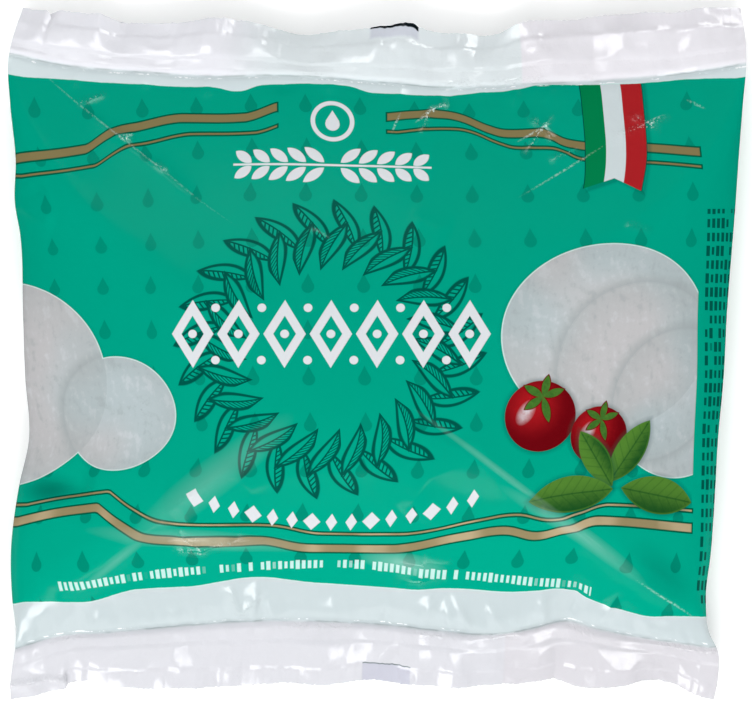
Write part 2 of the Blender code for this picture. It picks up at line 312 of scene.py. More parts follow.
# short pleats that start at a seal: place along X, run into the body, lean, height, reach
pleats = {
    "bottom": (
        (-23.5, 9.0, 1.4, 0.75, 1.0), (-21.0, 6.5, -1.6, -0.6, 1.1), (-18.6, 5.0, -2.4, 0.5, 0.9),
        (8.5, 8.0, 2.2, 0.7, 1.1), (14.0, 7.5, -1.0, 0.7, 1.0), (18.5, 9.0, -4.5, 0.6, 0.9),
        (24.0, 7.0, -3.4, 0.5, 1.0), (31.5, 8.5, -0.5, 0.75, 1.2), (36.5, 10.0, 1.5, -0.8, 1.3),
        (41.0, 7.0, 4.5, 0.7, 1.1), (-38.0, 5.0, 0.6, 0.3, 1.4), (-8.0, 5.5, -0.6, 0.35, 1.6),
        (-55.0, 6.0, 4.0, 0.5, 1.3), (-61.5, 8.0, 5.5, 0.5, 1.3), (52.0, 7.0, -2.5, 0.5, 1.3),
        (1.0, 4.0, 0.8, -0.4, 1.3),
    ),
    "top": (
        (-44.0, 4.0, 0.6, 0.30, 1.4), (-31.5, 5.0, -0.8, 0.34, 1.4), (-18.0, 4.0, 1.0, -0.34, 1.6),
        (-8.0, 3.5, -0.8, 0.26, 1.4), (4.0, 4.5, 0.4, 0.30, 1.3), (14.0, 5.5, -0.6, -0.38, 1.4),
        (25.5, 5.0, 1.0, 0.34, 1.2), (33.0, 5.0, -1.2, 0.30, 1.1), (44.0, 4.0, 0.5, 0.25, 1.4),
        (-56.0, 5.0, -1.5, 0.30, 1.4), (57.0, 5.0, 1.5, 0.30, 1.5), (19.5, 3.0, 0.4, 0.25, 1.0),
    ),
}


def pleatRelief(x, y, name, sealLine, inward):
    total = 0
    for place, run, lean, height, reach in pleats[name]:
        start = np.interp(place, *np.array(sealLine).T)
        foot, head = (place, start - 0.8 * inward), (place + lean, start + inward * run)
        total = total + crease(x, y, foot, head, height, reach, reach, 0.3, 0.45)[0]
    return total


def bodyRelief(points):
    x, y, z = points[..., 0], points[..., 1], points[..., 2]
    relief, crinkle = np.zeros_like(x), np.zeros_like(x)
    for start, end, height, left, right, rounding, fine in bodyFolds:
        ridge, near = crease(x, y, start, end, height, left, right, rounding)
        relief += ridge
        crinkle += near * fine
    relief += pleatRelief(x, y, "bottom", bottomSeal, 1) + pleatRelief(x, y, "top", topSeal, -1)
    # soft dents everywhere, stronger on the bottom slope
    low = easeStep(-12, -40, y)
    relief += (0.10 + 0.36 * low) * softNoise(x / 17, y / 14, z / 17 + 3)
    relief += (0.02 + 0.15 * low) * ridged(x / 8 + 5, y / 5, z / 8)
    return relief, crinkle


def sealPucker(u, v):
    # fine puckers that run out of both seals
    depth = form["filmSeal"] - np.abs(v)
    which = np.where(v > 0, 11.3, 47.9)
    wave = ridged(u / 4.2, which, which) * 0.75 + 0.35 * softNoise(u / 1.9, which, 0.5 * which)
    weight = np.exp(-np.abs(depth) / np.where(v > 0, 2.2, 3.8))
    return wave * weight * np.where(v > 0, 0.45, 0.7)


def finRelief(x, out, turn):
    # crumples of a fin: upright waves, soft dents, low steps where the sealing jaw ended
    swell = easeStep(0, 0.7, out)
    waves = 1.15 * softNoise(x / 9.5, out * 0.8, turn) + 0.42 * softNoise(x / 4.2, out * 1.3, turn + 4)
    sharp = 0.80 * ridged(x / 7.5, out * 1.5, turn + 8) + 0.20 * ridged(x / 2.8, out * 2.6, turn + 12)
    drift = 0.08 * softNoise(x / 30, 0.5, turn + 16)
    jaw = 0.14 * easeStep(0.30, 0.33, out + drift) - 0.16 * easeStep(0.71, 0.74, out + drift)
    return (0.25 + 0.75 * swell) * waves + (0.45 + 0.55 * swell) * sharp + jaw


def faceNormals(points):
    down, across = np.gradient(points, axis=0), np.gradient(points, axis=1)
    normal = np.cross(across, down)
    return normal / np.maximum(np.linalg.norm(normal, axis=-1, keepdims=True), 1e-9)


def shownRelief():
    uu, vv = np.meshgrid(uShown, vRows)
    rowsGrid = np.repeat(rows[:, None], len(uShown), axis=1)
    out = np.clip(np.abs(rowsGrid) - 1, 0, 1)
    onFin = np.abs(rowsGrid) > 1
    rim = 1 - (np.abs(uu) / form["halfFilm"]) ** 10  # calm at the round sides
    body, crinkle = bodyRelief(shown)
    relief = np.where(onFin, 0, body) * rim
    relief += sealPucker(uu, vv) * np.where(onFin, 1 - out, 1)
    fin = finRelief(shown[..., 0], out, np.where(rowsGrid > 0, 2.0, 21.0)) * easeStep(0, 0.12, out)
    # the corner that is turned over at the bottom left, and the edge line of the top right
    x, y = shown[..., 0], shown[..., 1]
    turned, nearTurned = crease(x, y, (-70.5, -62.2), (-58.6, -61.2), 0.9, 0.5, 2.2, 0.10, 0.05)
    corner, _ = crease(x, y, (-59.4, -60.8), (-59.6, -66.0), 0.6, 0.4, 1.2, 0.10, 0.1)
    edgeLine, _ = crease(x, y, (26.0, 59.2), (69.5, 62.2), 0.30, 0.5, 1.6, 0.10, 0.2)
    fin += np.where(rowsGrid < -1, turned + corner, 0) + np.where(rowsGrid > 1, edgeLine, 0)
    # the seal's own line is a narrow valley, with a small bead of crinkles beside it on the fin
    seal = np.abs(np.abs(vv) - form["filmSeal"])
    patchy = easeStep(-0.05, 0.25, softNoise(uu / 9, np.sign(vv) * 7.3, 1.7))
    valley = -(0.18 + 0.22 * (1 - patchy)) * np.exp(-((seal / 0.45) ** 2))
    beads = patchy * np.exp(-(((np.abs(vv) - form["filmSeal"] - 0.7) / 0.6) ** 2))
    valley += 0.35 * beads * ridged(uu / 1.3, np.sign(vv) * 3.1, 5.2)
    crinkle = np.where(onFin, 0.10, crinkle) + beads + 0.8 * nearTurned * onFin
    return relief + fin + valley, np.clip(crinkle, 0, 1)


reliefShown, crinkleShown = shownRelief()
shown = shown + faceNormals(shown) * reliefShown[..., None]

# a fin's two films stay together, so the back of a fin follows the lowest of its front near by
backStep = grid["across"] // grid["backAcross"]
onFinRow = np.abs(rows) >= 1
padded = np.pad(reliefShown, ((0, 0), (backStep - 1, backStep - 1)), mode="edge")
lowest = np.min([padded[:, n:n + reliefShown.shape[1]] for n in range(2 * backStep - 1)], axis=0)
follow = lowest[:, ::backStep] * np.clip((np.abs(rows)[:, None] - 0.985) / 0.015, 0, 1)
back = back + faceNormals(back) * follow[..., None]
sideWave = 0.35 * softNoise(back[..., 0] / 15, back[..., 1] / 11, back[..., 2] / 9 + 7)
lift = np.clip((back[..., 2] - 1.5) / 4, 0, 1) * (~onFinRow[:, None])
rimBack = 1 - np.abs(np.linspace(-1, 1, grid["backAcross"] + 1)) ** 10
back = back - faceNormals(back) * (sideWave * lift * rimBack)[..., None]
print("relief added, top", shown[..., 2].max().round(2), "low", back[..., 2].min().round(2))

bothSides = np.concatenate([shown.reshape(-1, 3), back.reshape(-1, 3)])
middle = 0.5 * (bothSides.min(axis=0) + bothSides.max(axis=0))
for points in (shown, back):
    points[..., :2] = np.clip(points[..., :2] - middle[:2], boxLow[:2] + 0.01, boxHigh[:2] - 0.01)
    points[..., 2] = np.clip(points[..., 2], 0.05, boxHigh[2] - 0.01)


# the skin as one closed mesh, with its film places kept on the face corners
def ringOf(shownRow, backRow):
    halfBack = grid["backAcross"] // 2
    return np.concatenate([backRow[halfBack::-1], shownRow, backRow[:halfBack:-1]])


def ringFaces(count, size):
    # faces between each ring of points and the next
    here, after = np.arange(size), (np.arange(size) + 1) % size
    ring = np.stack([here, after, size + after, size + here], axis=1)
    return np.concatenate([ring + row * size for row in range(count - 1)]).tolist()


def makePiece(name, points, faces, sharpAngle):
    mesh = bpy.data.meshes.new(name)
    mesh.from_pydata((points * mm).tolist(), [], faces)
    mesh.update()
    mesh.shade_smooth()
    mesh.set_sharp_from_angle(angle=math.radians(sharpAngle))
    piece = bpy.data.objects.new(name, mesh)
    bpy.context.scene.collection.objects.link(piece)
    return piece


def buildSkin():
    halfBack, step = grid["backAcross"] // 2, backStep
    points = np.concatenate([ringOf(shown[row], back[row]) for row in range(len(rows))])
    crinkle = np.array([ringOf(line, np.full(grid["backAcross"] + 1, 0.05)) for line in crinkleShown])
    size = points.shape[0] // len(rows)
    edge, girth = form["halfFilm"], 2 * form["halfFilm"]
    uRing = np.concatenate([
        np.linspace(-girth, -edge, halfBack + 1), uShown, np.linspace(edge, girth, halfBack + 1),
    ])  # one more than the ring, for the way round
    here, after = np.arange(size), (np.arange(size) + 1) % size
    places = []
    for row in range(len(rows) - 1):
        corners = ((0, row, here), (1, row, after), (1, row + 1, after), (0, row + 1, here))
        parts = [(uRing[here + far], np.full(size, vRows[r]), crinkle[r, at]) for far, r, at in corners]
        places.append(np.stack([np.stack(part, axis=1) for part in parts], axis=1))
    corners = np.concatenate(places).reshape(-1, 3)
    caps, capPlaces = [], []
    for row, turned in ((0, False), (len(rows) - 1, True)):
        base = row * size
        for i in range(grid["backAcross"]):
            tops = [base + halfBack + 1 + i * step + n for n in range(step + 1)]
            backs = [base + (halfBack - i - n) % size for n in (1, 0)]  # ring places of the back under them
            loop = tops[::-1] + backs[::-1]
            caps.append(loop if turned else loop[::-1])
            capPlaces += [[uShown[i * step], vRows[row], 0.0]] * len(loop)
    faces = [*ringFaces(len(rows), size), *caps]
    skin = makePiece("film_skin", points, faces, 58)  # only the cut edges of the fins are this sharp
    film = skin.data.attributes.new("film", "FLOAT_VECTOR", "CORNER")
    film.data.foreach_set("vector", np.concatenate([corners, np.array(capPlaces)]).astype(np.float32).ravel())
    return skin


skin = buildSkin()
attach(skin, "root")
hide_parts("pack")
print("skin made:", len(skin.data.polygons), "faces")

# where the smooth form under the relief shows from the camera, as places in one level plane
planOfFilm = smoothShown[..., :2] - middle[:2] - np.array(view["aside"]) / mm
planOfFilm = planOfFilm * view["distance"] / (view["distance"] + view["atHeight"] - smoothShown[..., 2:] * mm)


def onFilm(x, y):
    # film place of a point that is seen from above
    gap = (planOfFilm[..., 0] - x) ** 2 + (planOfFilm[..., 1] - y) ** 2
    row, column = np.unravel_index(np.argmin(gap), gap.shape)
    row, column = min(max(row, 1), len(rows) - 2), min(max(column, 1), len(uShown) - 2)
    near = planOfFilm[row - 1:row + 2, column - 1:column + 2]
    acrossStep = (near[1, 2] - near[1, 0]) / (uShown[column + 1] - uShown[column - 1])
    alongStep = (near[2, 1] - near[0, 1]) / (vRows[row + 1] - vRows[row - 1])
    away = np.array([x, y]) - near[1, 1]
    du, dv = np.clip(np.linalg.solve(np.stack([acrossStep, alongStep], axis=1), away), -1.5, 1.5)
    return float(uShown[column] + du), float(vRows[row] + dv)


# the back seam's flap: a thin strip pressed against the back
flap = {"middle": 2.0, "width": 11.0, "thick": 0.18, "across": 16, "step": 2}


def flapLine(row):
    # places across the strip just under the back of one row
    xs = np.linspace(-0.5, 0.5, flap["across"] + 1) * flap["width"] + flap["middle"] - middle[0]
    xs[0] += 0.25 * math.sin(vRows[row] / 6.0)
    order = np.argsort(back[row, :, 0])
    under = np.interp(xs, back[row, order, 0], back[row, order, 2])
    y = np.interp(xs, back[row, order, 0], back[row, order, 1])
    lift = 0.10 * np.cos(np.linspace(-0.5, 0.5, len(xs)) * math.pi) ** 0.5
    return np.stack([xs, y, np.maximum(under - lift, 0.2)], axis=1)


def buildFlap():
    upper = np.array([flapLine(row) for row in range(0, len(rows), flap["step"])])
    lower = upper - np.array([0, 0, flap["thick"]])
    rings = np.concatenate([upper, lower[:, ::-1]], axis=1)
    count, size = rings.shape[:2]
    faces = ringFaces(count, size)
    for base, turned in ((0, True), ((count - 1) * size, False)):
        for c in range(flap["across"]):
            loop = (base + c, base + c + 1, base + size - 2 - c, base + size - 1 - c)
            faces.append(loop[::-1] if turned else loop)
    return makePiece("back_flap", rings.reshape(-1, 3), faces, 40)


strip = buildFlap()
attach(strip, "root")
print("flap made")


def mathNode(operation):
    return lambda self, *others: self.math(operation, *others)


# shader maths: a wire is one socket that takes part in Python expressions
class Wire:
    def __init__(self, graph, socket):
        self.graph, self.socket = graph, socket

    def math(self, operation, *others):
        return self.graph.value("ShaderNodeMath", {"operation": operation}, dict(enumerate((self, *others))))

    def __rsub__(self, other):
        return self.graph.value("ShaderNodeMath", {"operation": "SUBTRACT"}, {0: other, 1: self})

    __add__ = __radd__ = mathNode("ADD")
    __mul__ = __rmul__ = mathNode("MULTIPLY")
    __sub__, __truediv__, __abs__ = mathNode("SUBTRACT"), mathNode("DIVIDE"), mathNode("ABSOLUTE")
    least, most = mathNode("MINIMUM"), mathNode("MAXIMUM")


class Graph:
    def __init__(self, name):
        self.material = bpy.data.materials.new(name)
        self.material.use_nodes = True
        self.tree = self.material.node_tree
        self.shader = self.tree.nodes["Principled BSDF"]

    def node(self, kind, settings=None, inputs=None):
        made = self.tree.nodes.new(kind)
        for name, value in (settings or {}).items():
            setattr(made, name, value)
        for key, value in (inputs or {}).items():
            self.feed(made.inputs[key], value)
        return made

    def feed(self, socket, value):
        if isinstance(value, Wire):
            self.tree.links.new(value.socket, socket)
        elif isinstance(value, tuple) and socket.type == "RGBA":
            socket.default_value = (*value, 1.0)[:4]
        else:
            socket.default_value = value

    def value(self, kind, settings=None, inputs=None, output=0):
        return Wire(self, self.node(kind, settings, inputs).outputs[output])

    def finish(self, values):
        for name, value in values.items():
            self.feed(self.shader.inputs[name], value)
        return self.material

    def mix(self, factor, first, second):
        settings = {"data_type": "RGBA", "clamp_factor": True}
        return self.value("ShaderNodeMix", settings, {0: factor, 6: first, 7: second}, 2)

    def vector(self, operation, first, second=None, output=0):
        inputs = {0: first} if second is None else {0: first, 1: second}
        return self.value("ShaderNodeVectorMath", {"operation": operation}, inputs, output)

    def join(self, x, y, z=0.0):
        return self.value("ShaderNodeCombineXYZ", None, {0: x, 1: y, 2: z})

    def split(self, vector):
        made = self.node("ShaderNodeSeparateXYZ", None, {0: vector})
        return [Wire(self, made.outputs[n]) for n in range(3)]

    def smooth(self, value, low, high):
        settings = {"interpolation_type": "SMOOTHSTEP", "clamp": True}
        return self.value("ShaderNodeMapRange", settings, {0: value, 1: low, 2: high, 3: 0.0, 4: 1.0})

    def noise(self, vector, scale, detail=2.0, rough=0.5):
        inputs = {"Vector": vector, "Scale": scale, "Detail": detail, "Roughness": rough}
        return self.value("ShaderNodeTexNoise", None, inputs)

    def random(self, value):
        return self.value("ShaderNodeTexWhiteNoise", {"noise_dimensions": "1D"}, {"W": value})

    def inside(self, distance, soft=0.10):
        # 1 inside a shape whose edge is where the distance, in millimetres, is 0
        inputs = {0: distance, 1: -1 / soft, 2: 0.5}
        return self.value("ShaderNodeMath", {"operation": "MULTIPLY_ADD", "use_clamp": True}, inputs)

    def curve(self, u, points, corners=()):
        # height of a drawn line through film places, level beyond its ends
        made = self.node("ShaderNodeFloatCurve", None, {"Value": (u + 70) / 140})
        mapping, line = made.mapping, made.mapping.curves[0]
        mapping.use_clip, mapping.extend = False, "HORIZONTAL"
        while len(line.points) < len(points):
            line.points.new(0.5, 0.5)
        for n, (point, (x, y)) in enumerate(zip(line.points, sorted(points))):
            point.location = ((x + 70) / 140, (y + 70) / 140)
            point.handle_type = "VECTOR" if n in corners else "AUTO_CLAMPED"
        mapping.update()
        return Wire(self, made.outputs[0]) * 140 - 70

    def turn(self, place, centre, angle):
        inputs = {"Vector": place, "Center": (*centre, 0.0), "Angle": -math.radians(angle)}
        return self.value("ShaderNodeVectorRotate", {"rotation_type": "Z_AXIS"}, inputs)

    def disc(self, place, centre, radius):
        return self.vector("DISTANCE", place, (*centre, 0.0), 1) - radius

    def oval(self, place, centre, halfSize, angle=0.0):
        turned = self.turn(place, centre, angle) if angle else place
        gap = self.vector("SUBTRACT", turned, (*centre, 0.0))
        gap = self.vector("MULTIPLY", gap, (1 / halfSize[0], 1 / halfSize[1], 0.0))
        return (self.vector("LENGTH", gap, None, 1) - 1) * min(halfSize)

    def leaf(self, place, centre, halfLength, halfWidth, angle):
        # two arcs that meet in points at both ends
        turned = self.turn(place, centre, angle)
        radius = (halfLength**2 + halfWidth**2) / (2 * halfWidth)
        x, y = centre
        above = self.disc(turned, (x, y + radius - halfWidth), radius)
        below = self.disc(turned, (x, y - radius + halfWidth), radius)
        return above.most(below), turned


inkDepth = 0.76  # how light all the inks and the film are
ink = {
    "green": (0.0, 0.352, 0.232), "drop": (0.0, 0.262, 0.172), "dark": (0.0, 0.060, 0.046),
    "gold": (0.236, 0.192, 0.082), "goldSheen": (0.500, 0.400, 0.235), "outline": (0.0, 0.100, 0.052),
    "fin": (0.865, 0.87, 0.925), "finGrey": (0.78, 0.845, 0.87), "finWarm": (0.85, 0.835, 0.885),
    "band": (0.72, 0.82, 0.845), "plaque": (0.73, 0.76, 0.79),
    "rim": (0.66, 0.93, 0.88), "flagGreen": (0.0, 0.215, 0.070), "flagWhite": (0.64, 0.72, 0.74),
    "flagRed": (0.42, 0.016, 0.020), "cheese": (0.48, 0.555, 0.575), "cheeseShade": (0.34, 0.385, 0.385),
    "cheeseWarm": (0.55, 0.545, 0.555), "red": (0.39, 0.009, 0.013), "redDark": (0.15, 0.002, 0.005),
    "leaf": (0.085, 0.225, 0.030), "leafDark": (0.008, 0.075, 0.014), "black": (0.004, 0.009, 0.012),
    "mark": (0.52, 0.53, 0.66), "crackAndGlint": (0.72, 0.95, 0.90),
}
ink = {name: tuple(part * inkDepth for part in colour) for name, colour in ink.items()}

# where the print lies: places as seen from above, in millimetres
printed = {
    "greenTop": (
        (-66.4, 51.9), (-59.6, 51.5), (-50.6, 50.8), (-40.0, 50.2), (-31.0, 49.9), (-26.0, 49.2),
        (-21.6, 50.4), (-5.7, 50.2), (-0.5, 48.9), (20.6, 48.9), (26.0, 49.3), (31.2, 50.4), (44.4, 50.4),
        (60.2, 51.5), (68.1, 51.7),
    ),
    "greenBottom": (
        (-66.4, -47.0), (-55.9, -46.8), (-45.3, -44.6), (-34.8, -44.0), (-22.9, -42.3), (-11.0, -43.4),
        (4.8, -44.4), (15.4, -44.4), (25.9, -45.1), (33.8, -44.4), (39.1, -45.9), (44.4, -47.6),
        (49.7, -49.1), (60.2, -49.7),
    ),
    "goldTopLeft": (
        (-67.8, 36.5), (-61.5, 37.3), (-54.5, 38.3), (-49.3, 41.5), (-44.6, 42.6), (-37.0, 44.15),
        (-24.5, 44.3), (-18.7, 46.3),
    ),
    "goldTopRight": (
        (2.0, 44.35), (7.5, 44.8), (12.0, 44.8), (15.2, 44.4), (21.4, 42.0), (24.0, 41.3),
        (31.4, 41.2), (36.6, 39.3), (50.8, 38.6), (61.0, 37.8),
    ),
    "goldBottom": (
        (-67.6, -31.9), (-58.2, -29.9), (-52.5, -29.2), (-48.0, -32.5), (-42.3, -34.8), (-36.0, -35.3),
        (-21.6, -35.4), (-12.0, -36.9), (3.5, -37.0), (17.1, -34.5), (24.0, -33.5), (30.4, -34.5),
        (35.5, -33.1), (42.0, -31.6), (59.4, -33.1),
    ),
    "goldHalf": 0.74, "thinHalf": 0.17, "outlineWidth": 0.33, "thinGap": 3.1, "thinShift": 1.9,
    "dropPitch": (10.27, 8.85), "dropRadius": 1.20, "dropPoint": 2.6, "dropStart": (7.05, 8.6),
    "dropLean": 0.0235, "backLeft": -100.0, "backRight": 119.0,  # where what runs round a side ends
    "goldGap": (-18.72, 2.1),
}


def filmLine(points):
    return [onFilm(x, y) for x, y in points]


def dropPattern(g, u, v):
    # small drops in leaning columns, pulled down and in where the film bends at the left
    across, along = printed["dropPitch"]
    startU, startV = printed["dropStart"]
    down = g.smooth(u, -20.0, -66.0) * g.smooth(v, 5.0, 30.0)
    inward = g.smooth(u, -28.0, -50.0) * g.smooth(v, 44.0, 28.0) * g.smooth(v, -25.0, -5.0)
    x = (((u + v * printed["dropLean"] - inward * 2.6 + startU) / across).math("FRACT") - 0.5) * across
    y = (((v + down * 2.9 + startV) / along).math("FRACT") - 0.42) * along
    ball = g.vector("LENGTH", g.join(x, y), None, 1) - printed["dropRadius"]
    wedge = ((abs(x) * 2.0 + y - printed["dropPoint"]) * 0.45).most(0.5 - y)
    return g.inside(ball.least(wedge), 0.16)


def stripePair(g, u, v, name, corner, turn, low, high):
    # a thick and a thin line side by side, and the dark line round both
    points = filmLine(printed[name])
    thick = abs(v - g.curve(u, points, corner)) - printed["goldHalf"]
    shifted = g.curve(u - printed["thinShift"], points, corner) - printed["thinGap"] * turn
    thin = abs(v - shifted) - printed["thinHalf"]
    end = (low - u).most(u - high)
    line = thick.least(thin).most(end)
    return g.inside(line), g.inside(line - printed["outlineWidth"])


wreath = {
    "centre": (-8.8, 0.6), "stem": 22.1, "leaf": (4.4, 1.7),
    "rings": ((24.2, 24, 0.55, 0.0), (20.0, 24, -0.55, 0.5)),  # radius, leaves, lean, shift
}


def leafWreath(g, place):
    # two rings of pointed leaves on one round stem, in dark line
    gap = g.vector("SUBTRACT", place, (*onFilm(*wreath["centre"]), 0.0))
    gx, gy, _ = g.split(gap)
    radius = g.vector("LENGTH", gap, None, 1)
    turnRound = gy.math("ARCTAN2", gx) / (2 * math.pi)
    length, width = wreath["leaf"]
    mask = g.inside(abs(radius - wreath["stem"]) - 0.22, 0.12)
    for ringRadius, count, lean, shift in wreath["rings"]:
        across = ((turnRound * count + shift).math("FRACT") - 0.5) * (2 * math.pi * ringRadius / count)
        out = radius - ringRadius
        side = across - out * lean
        body = abs(side) / width + (out / length) * (out / length) - 1
        edge = g.inside(abs(body) * 1.3 - 0.27, 0.2)
        vein = g.inside((abs(side) - 0.17).most(body), 0.12)
        strokes = g.inside((side + out * 1.2).math("PINGPONG", 0.45) - 0.17, 0.12)
        within = g.inside(body)
        hatch = strokes * within * g.inside(side * -1.0)
        mask = (mask * (1 - within)).most(edge).most(vein).most(hatch)  # leaves in front hide the rest
    return mask


def underShadow(g, colour, distance, reach=1.1, strength=0.45):
    # the soft dark edge that is printed round a pictured thing
    return g.mix(g.inside(distance - 0.4 * reach, reach) * strength, colour, ink["dark"])


# pictured food: rounds of cheese, red fruit and leaves; the left round's middle lies past the pack's edge
food = {
    "leftRounds": (((-66.0, -6.0), (22.0, 19.5), 10), ((-48.5, -11.5), (11.5, 11.0), 0)),
    "rightRounds": (
        ((44.0, 3.0), (20.5, 18.0), 0), ((50.5, -3.5), (17.0, 17.0), -18), ((57.5, -9.6), (14.0, 14.4), -32),
    ),
    "edge": -60.0, "pastEdge": 3.0,
    "reds": (((31.0, -12.0), 6.8), ((42.0, -15.6), 5.6)),
    "leaves": (
        ((47.8, -18.6), 7.0, 2.9, 58), ((41.5, -20.0), 6.4, 2.6, 124), ((36.8, -26.6), 8.2, 3.5, 8),
        ((53.0, -26.9), 7.8, 3.5, -10),
    ),
}


def cheeseRounds(g, colour, place, rounds, tone):
    # rounds that lie over each other, each with a soft shadow, and one pale rim round them all
    outer = None
    for centre, half, angle in rounds:
        x, y = onFilm(*centre)
        x = x - (food["pastEdge"] if centre[0] < food["edge"] else 0.0)
        distance = g.oval(place, (x, y), half, angle)
        if outer is not None:
            shadow = g.smooth(distance, 2.6, 0.0) * (1 - g.inside(distance, 0.4))
            tone = g.mix(shadow * 0.6, tone, ink["cheeseShade"])
        dusk = g.inside(distance) * g.smooth(distance, -0.5 * min(half), 0.0)
        tone = g.mix(dusk * 0.3, tone, ink["cheeseShade"])
        outer = distance if outer is None else outer.least(distance)
    tone = g.mix(g.inside(abs(outer + 0.08) - 0.10, 0.15) * 0.8, tone, ink["rim"])
    return g.mix(g.inside(outer), underShadow(g, colour, outer, 0.7, 0.18), tone)


def redFruit(g, colour, place, spot, radius, speck):
    distance = g.disc(place, spot, radius)
    low = g.disc(place, (spot[0] - 0.25 * radius, spot[1] + 0.3 * radius), 0.9 * radius)
    tone = g.mix(g.smooth(low + speck, -0.7 * radius, 0.25 * radius), ink["red"], ink["redDark"])
    centre = (spot[0] - 0.42 * radius, spot[1] + 0.1 * radius)
    gleam = g.inside(g.oval(place, centre, (0.26 * radius, 0.15 * radius), 60), 1.2)
    tone = g.mix(gleam * (speck + 0.15), tone, ink["plaque"])
    colour = g.mix(g.inside(distance), underShadow(g, colour, distance), tone)
    # a star of five green blades, the one that hangs down a little longer
    star = None
    for turn, reach in ((20, 0.31), (78, 0.31), (150, 0.31), (215, 0.31), (285, 0.375)):
        x = spot[0] + (0.05 + reach * math.cos(math.radians(turn))) * radius
        y = spot[1] + (0.55 + reach * math.sin(math.radians(turn))) * radius
        blade, _ = g.leaf(place, (x, y), reach * radius, 0.11 * radius, turn)
        star = blade if star is None else star.least(blade)
    colour = g.mix(g.inside(star - 0.18), colour, ink["redDark"])
    return g.mix(g.inside(star), colour, g.mix(speck * 1.2, ink["leafDark"], ink["leaf"]))


def leafPicture(g, colour, place, spot, length, width, angle, speck):
    distance, turned = g.leaf(place, spot, length, width, angle)
    along, across, _ = g.split(turned)
    along, across = along - spot[0], across - spot[1]
    tone = g.mix(g.smooth(across + speck * 2.0, -0.8 * width, width), ink["leafDark"], ink["leaf"])
    ribs = g.inside((along - abs(across) * 0.8).math("PINGPONG", 1.0) - 0.12, 0.25)
    tone = g.mix(ribs * 0.35, tone, ink["leafDark"])
    tone = g.mix(g.inside(abs(across) - 0.12, 0.25) * 0.75, tone, ink["leafDark"])
    tone = g.mix(g.inside(abs(distance + 0.15) - 0.15, 0.2) * 0.5, tone, ink["leaf"])
    return g.mix(g.inside(distance), underShadow(g, colour, distance), tone)


def paintFood(g, colour, place, u, v, speck):
    # crumb of the cheese as soft lit dents, a few dark specks, and a slow change from cool to warm
    crumb = [g.noise(g.join(u + gap, v * 0.7 + gap), 0.26, 5.0, 0.6) for gap in (0.0, 0.55)]
    dents = crumb[0] - crumb[1]
    light = g.smooth(g.noise(place, 0.035, 1.0), 0.40, 0.60)
    tone = g.mix(light, ink["cheese"], ink["cheeseWarm"])
    shade = g.smooth(dents, 0.015, 0.16) * 0.38 + g.smooth(speck, 0.69, 0.72) * 0.4
    tone = g.mix(shade, tone, ink["cheeseShade"])
    tone = g.mix(g.smooth(dents * -1.0, 0.015, 0.16) * 0.34, tone, ink["plaque"])
    for rounds in (food["leftRounds"], food["rightRounds"]):
        colour = cheeseRounds(g, colour, place, rounds, tone)
    for centre, radius in food["reds"]:
        colour = redFruit(g, colour, place, onFilm(*centre), radius, speck)
    for centre, length, width, angle in food["leaves"]:
        colour = leafPicture(g, colour, place, onFilm(*centre), length, width, angle, speck)
    return colour


label = {
    "frieze": (-8.5, 3.5), "pitch": 8.5, "count": 7, "lozenge": (3.9, 6.5), "stroke": 1.55, "bead": 0.8,
    "sprig": (-8.2, 35.3), "badge": (-8.2, 43.6),
}


def paintLabel(g, colour, place, u, v):
    # a bold white frieze of hollow lozenges with beads in and between them
    spot, pitch = onFilm(*label["frieze"]), label["pitch"]
    cell = abs((((u - spot[0]) / pitch + 0.5).math("FRACT") - 0.5) * pitch)
    level = abs(v - spot[1])
    wide, tall = label["lozenge"]
    reach, last = abs(u - spot[0]), 0.5 * pitch * (label["count"] - 1)
    lozenge = (cell / wide + level / tall - 1) * (wide * tall / math.hypot(wide, tall))
    frieze = (abs(lozenge + 0.5 * label["stroke"]) - 0.5 * label["stroke"]).most(reach - last - 0.5 * pitch)
    folded = g.join(cell, level)
    beads = g.disc(folded, (0.0, 0.0), label["bead"]).least(g.disc(folded, (pitch / 2, 5.0), label["bead"]))
    frieze = frieze.least(beads.most(reach - last - label["bead"]))
    colour = g.mix(g.inside(frieze), colour, ink["plaque"])
    # a lying sprig, mirrored about its middle, with a ringed drop above it
    spot = onFilm(*label["sprig"])
    mirrored = g.join(abs(u - spot[0]), v - spot[1])
    mx, my, _ = g.split(mirrored)
    white = (abs(my) - 0.20).most(mx - 18.5)
    for i in range(5):
        for turn in (1, -1):
            centre = (3.4 + 3.3 * i, turn * (2.0 - 0.12 * i))
            blade, _ = g.leaf(mirrored, centre, 2.35 - 0.12 * i, 0.95, turn * 38)
            white = white.least(blade)
    badge = onFilm(*label["badge"])
    ring = abs(g.disc(place, badge, 3.7)) - 0.42
    drop = g.disc(place, (badge[0], badge[1] - 0.6), 1.35)
    tip = ((abs(u - badge[0]) * 1.7 + v - badge[1] - 2.2) * 0.5).most(badge[1] - v)
    white = white.least(ring).least(drop.least(tip))
    return g.mix(g.inside(white), colour, ink["plaque"])


def barRow(g, along, seed, level, halfHeight, pitch):
    # a row of plain upright bars, uneven in size, with gaps; level is the height above the row's middle
    number = (along / pitch).math("FLOOR")
    across = (along / pitch).math("FRACT") * pitch
    chance = g.random(number + seed)
    wide, tall = (chance * 0.14 + 0.22) * pitch, (chance * 0.35 + 0.65) * halfHeight
    bar = (abs(across - 0.5 * pitch) - wide).most(abs(level) - tall)
    return g.inside(bar.most(0.14 - chance))


